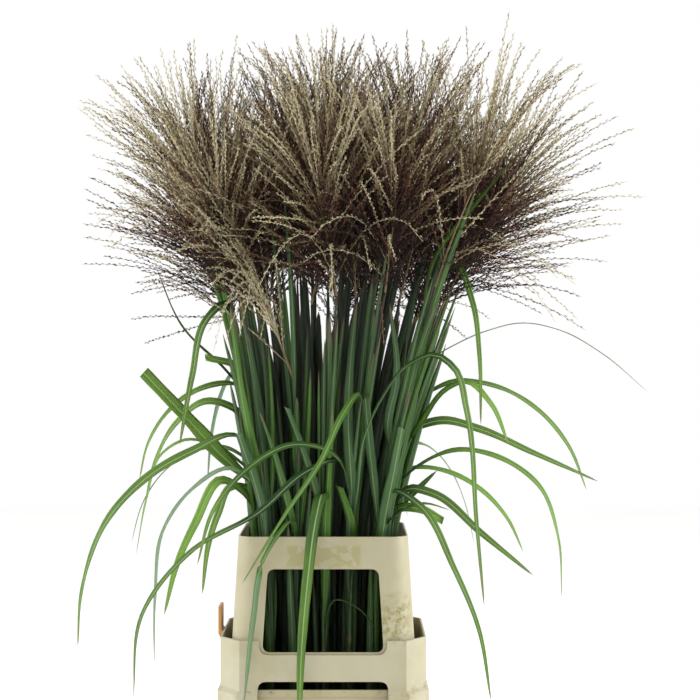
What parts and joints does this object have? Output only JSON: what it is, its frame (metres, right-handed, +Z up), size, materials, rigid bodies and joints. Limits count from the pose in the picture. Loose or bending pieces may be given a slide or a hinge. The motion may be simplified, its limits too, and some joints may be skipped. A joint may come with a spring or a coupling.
{
  "type": "bucket of cut flowering miscanthus stems",
  "caption": "Cut flowering miscanthus stems with fans of beaded racemes and arching leaves, in a cream square bucket with two window collars.",
  "frame": {"origin": "centre of the flat face under the bucket's base", "axes": "+Z up along the stems, -Y towards the front, the side that the picture shows, +X to the front view's right"},
  "size_m": [0.8654, 0.8615, 1.2252],
  "materials": {
    "collar_plastic": "satin",
    "bucket_plastic": "satin",
    "water": "gloss",
    "green_leaf": "satin",
    "raceme": "matte"
  },
  "bodies": {
    "root": {"bucket": "bucket_plastic", "water": "water", "lower_collar": "collar_plastic", "upper_collar": "collar_plastic", "leafy_stem_01": "green_leaf", "panicle_01": "raceme", "leafy_stem_02": "green_leaf", "panicle_02": "raceme", "leafy_stem_03": "green_leaf", "panicle_03": "raceme", "leafy_stem_04": "green_leaf", "panicle_04": "raceme", "leafy_stem_05": "green_leaf", "panicle_05": "raceme", "leafy_stem_06": "green_leaf", "panicle_06": "raceme", "leafy_stem_07": "green_leaf", "panicle_07": "raceme", "leafy_stem_08": "green_leaf", "panicle_08": "raceme", "leafy_stem_09": "green_leaf", "panicle_09": "raceme", "leafy_stem_10": "green_leaf", "panicle_10": "raceme", "leafy_stem_11": "green_leaf", "panicle_11": "raceme", "leafy_stem_12": "green_leaf", "panicle_12": "raceme", "leafy_stem_13": "green_leaf", "panicle_13": "raceme", "leafy_stem_14": "green_leaf", "panicle_14": "raceme", "leafy_stem_15": "green_leaf", "panicle_15": "raceme", "leafy_stem_16": "green_leaf", "panicle_16": "raceme", "leafy_stem_17": "green_leaf", "panicle_17": "raceme", "leafy_stem_18": "green_leaf", "panicle_18": "raceme", "leafy_stem_19": "green_leaf", "panicle_19": "raceme", "leafy_stem_20": "green_leaf", "panicle_20": "raceme", "leafy_stem_21": "green_leaf", "panicle_21": "raceme", "leafy_stem_22": "green_leaf", "panicle_22": "raceme", "leafy_stem_23": "green_leaf", "panicle_23": "raceme", "leafy_stem_24": "green_leaf", "panicle_24": "raceme", "leafy_stem_25": "green_leaf", "panicle_25": "raceme", "leafy_stem_26": "green_leaf", "panicle_26": "raceme", "leafy_stem_27": "green_leaf", "panicle_27": "raceme"}
  },
  "joints": []
}
